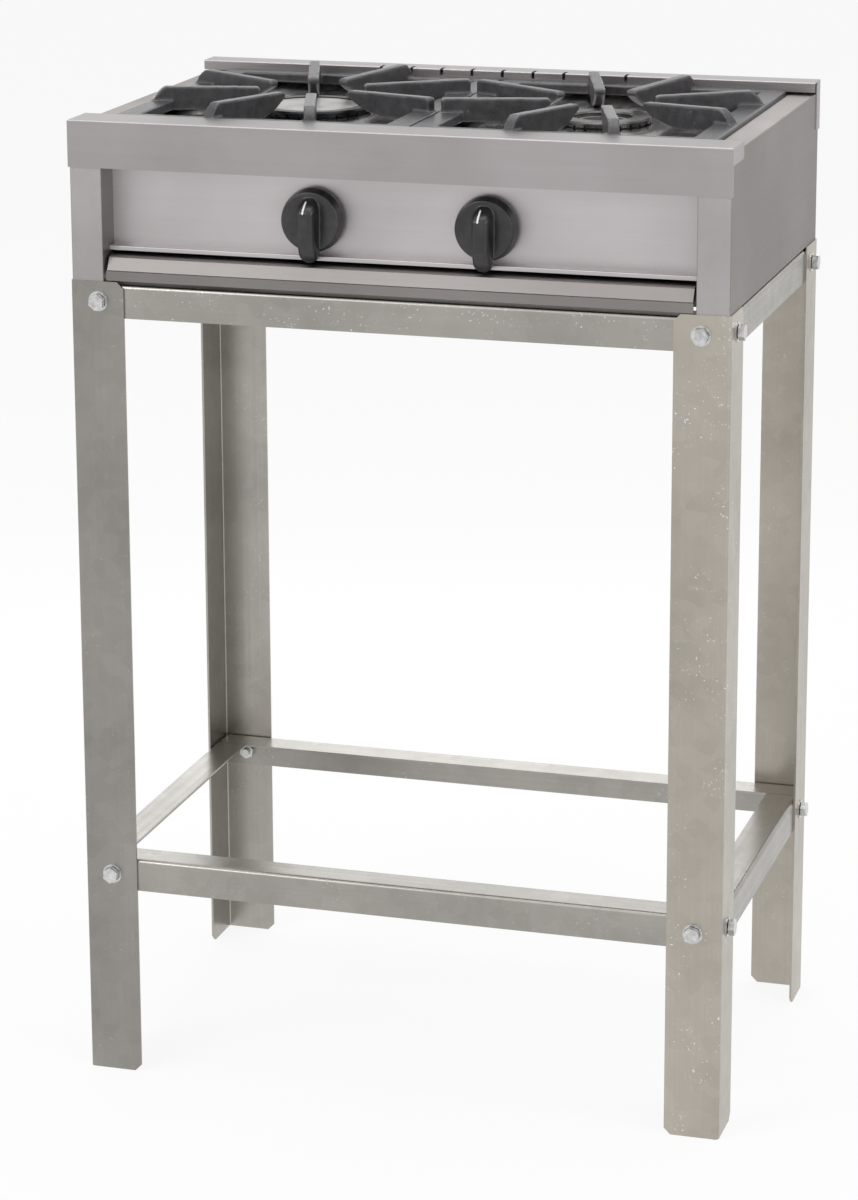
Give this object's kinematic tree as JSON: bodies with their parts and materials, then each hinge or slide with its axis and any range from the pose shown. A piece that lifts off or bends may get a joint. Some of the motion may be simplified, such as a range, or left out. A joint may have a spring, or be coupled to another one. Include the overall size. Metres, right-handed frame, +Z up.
{
  "type": "stock pot range",
  "caption": "Gas stock pot range: stainless two-burner hob with cast grates, pull-out drip tray and push-and-turn taps, on a bolted angle-iron stand.",
  "frame": {"origin": "centre of the bounding box, on the floor under the stand", "axes": "+Z up, +Y from the control panel to the back, +X to the user's right"},
  "size_m": [0.6138, 0.4124, 0.9055],
  "materials": {
    "galvanised_steel": "galvanised, spangled, satin",
    "zinc_steel": "bright zinc plated",
    "stainless_sheet": "brushed stainless sheet, satin",
    "bright_stainless": "bright stainless sheet, reflective",
    "cast_iron": "cast, dark stoved enamel, semi-matt",
    "burner_iron": "cast, machined seat",
    "burner_cap_iron": "cast, machined top",
    "burner_disc_steel": "pressed disc, satin",
    "knob_plastic": "black phenolic, satin",
    "spring_steel": "spring wire",
    "brass": "machined brass",
    "gas_steel": "zinc plated steel tube"
  },
  "bodies": {
    "stand_and_casing": {"back_panel": "stainless_sheet", "back_rail": "stainless_sheet", "burner_body_left": "burner_iron", "burner_body_right": "burner_iron", "burner_pan": "bright_stainless", "control_panel": "stainless_sheet", "feed_pipe": "gas_steel", "front_band": "stainless_sheet", "gas_manifold": "gas_steel", "injector_elbow_left": "brass", "injector_elbow_right": "brass", "injector_left": "brass", "injector_right": "brass", "inlet_fitting": "brass", "inlet_locknut": "brass", "leg_front_left": "galvanised_steel", "leg_front_right": "galvanised_steel", "leg_rear_left": "galvanised_steel", "leg_rear_right": "galvanised_steel", "lower_rail_front": "galvanised_steel", "lower_rail_left": "galvanised_steel", "lower_rail_rear": "galvanised_steel", "lower_rail_right": "galvanised_steel", "manifold_bracket_left": "gas_steel", "manifold_bracket_right": "gas_steel", "side_panel_left": "stainless_sheet", "side_panel_right": "stainless_sheet", "stand_bolts": "zinc_steel", "stand_nuts": "zinc_steel", "stand_washers": "zinc_steel", "supply_pipe_left": "gas_steel", "supply_pipe_right": "gas_steel", "upper_rail_front": "galvanised_steel", "upper_rail_left": "galvanised_steel", "upper_rail_rear": "galvanised_steel", "upper_rail_right": "galvanised_steel", "valve_body_left": "brass", "valve_body_right": "brass", "valve_bonnet_left": "brass", "valve_bonnet_right": "brass"},
    "drip_tray": {"drip_tray": "stainless_sheet"},
    "grate_left": {"grate_left": "cast_iron"},
    "grate_right": {"grate_right": "cast_iron"},
    "burner_cap_left": {"burner_cap_left": "burner_cap_iron", "burner_disc_left": "burner_disc_steel"},
    "burner_cap_right": {"burner_cap_right": "burner_cap_iron"},
    "valve_plug_left": {"valve_plug_left": "brass", "valve_spring_left": "spring_steel"},
    "knob_left": {"knob_left": "knob_plastic", "valve_stem_left": "brass"},
    "valve_plug_right": {"valve_plug_right": "brass", "valve_spring_right": "spring_steel"},
    "knob_right": {"knob_right": "knob_plastic", "valve_stem_right": "brass"}
  },
  "joints": [
    {"name": "drip_tray_slide", "type": "slide", "parent": "stand_and_casing", "child": "drip_tray", "axis": [0, -1, 0], "range_m": [0, 0.3]},
    {"name": "grate_left_lift", "type": "slide", "parent": "stand_and_casing", "child": "grate_left", "axis": [0, 0, 1], "range_m": [0, 0.06]},
    {"name": "grate_right_lift", "type": "slide", "parent": "stand_and_casing", "child": "grate_right", "axis": [0, 0, 1], "range_m": [0, 0.06]},
    {"name": "burner_cap_left_lift", "type": "slide", "parent": "stand_and_casing", "child": "burner_cap_left", "axis": [0, 0, 1], "range_m": [0, 0.008]},
    {"name": "burner_cap_right_lift", "type": "slide", "parent": "stand_and_casing", "child": "burner_cap_right", "axis": [0, 0, 1], "range_m": [0, 0.008]},
    {"name": "valve_left_turn", "type": "hinge", "parent": "stand_and_casing", "child": "valve_plug_left", "pos_m": [-0.079, -0.16595, 0.811], "axis": [0, -1, 0], "range_deg": [0, 200]},
    {"name": "knob_left_push", "type": "slide", "parent": "valve_plug_left", "child": "knob_left", "axis": [0, 1, 0], "range_m": [0, 0.003], "stiffness_N_per_m": 800, "springref_m": -0.001, "deforming": ["valve_spring_left"]},
    {"name": "valve_right_turn", "type": "hinge", "parent": "stand_and_casing", "child": "valve_plug_right", "pos_m": [0.079, -0.16595, 0.811], "axis": [0, -1, 0], "range_deg": [0, 200]},
    {"name": "knob_right_push", "type": "slide", "parent": "valve_plug_right", "child": "knob_right", "axis": [0, 1, 0], "range_m": [0, 0.003], "stiffness_N_per_m": 800, "springref_m": -0.001, "deforming": ["valve_spring_right"]}
  ]
}
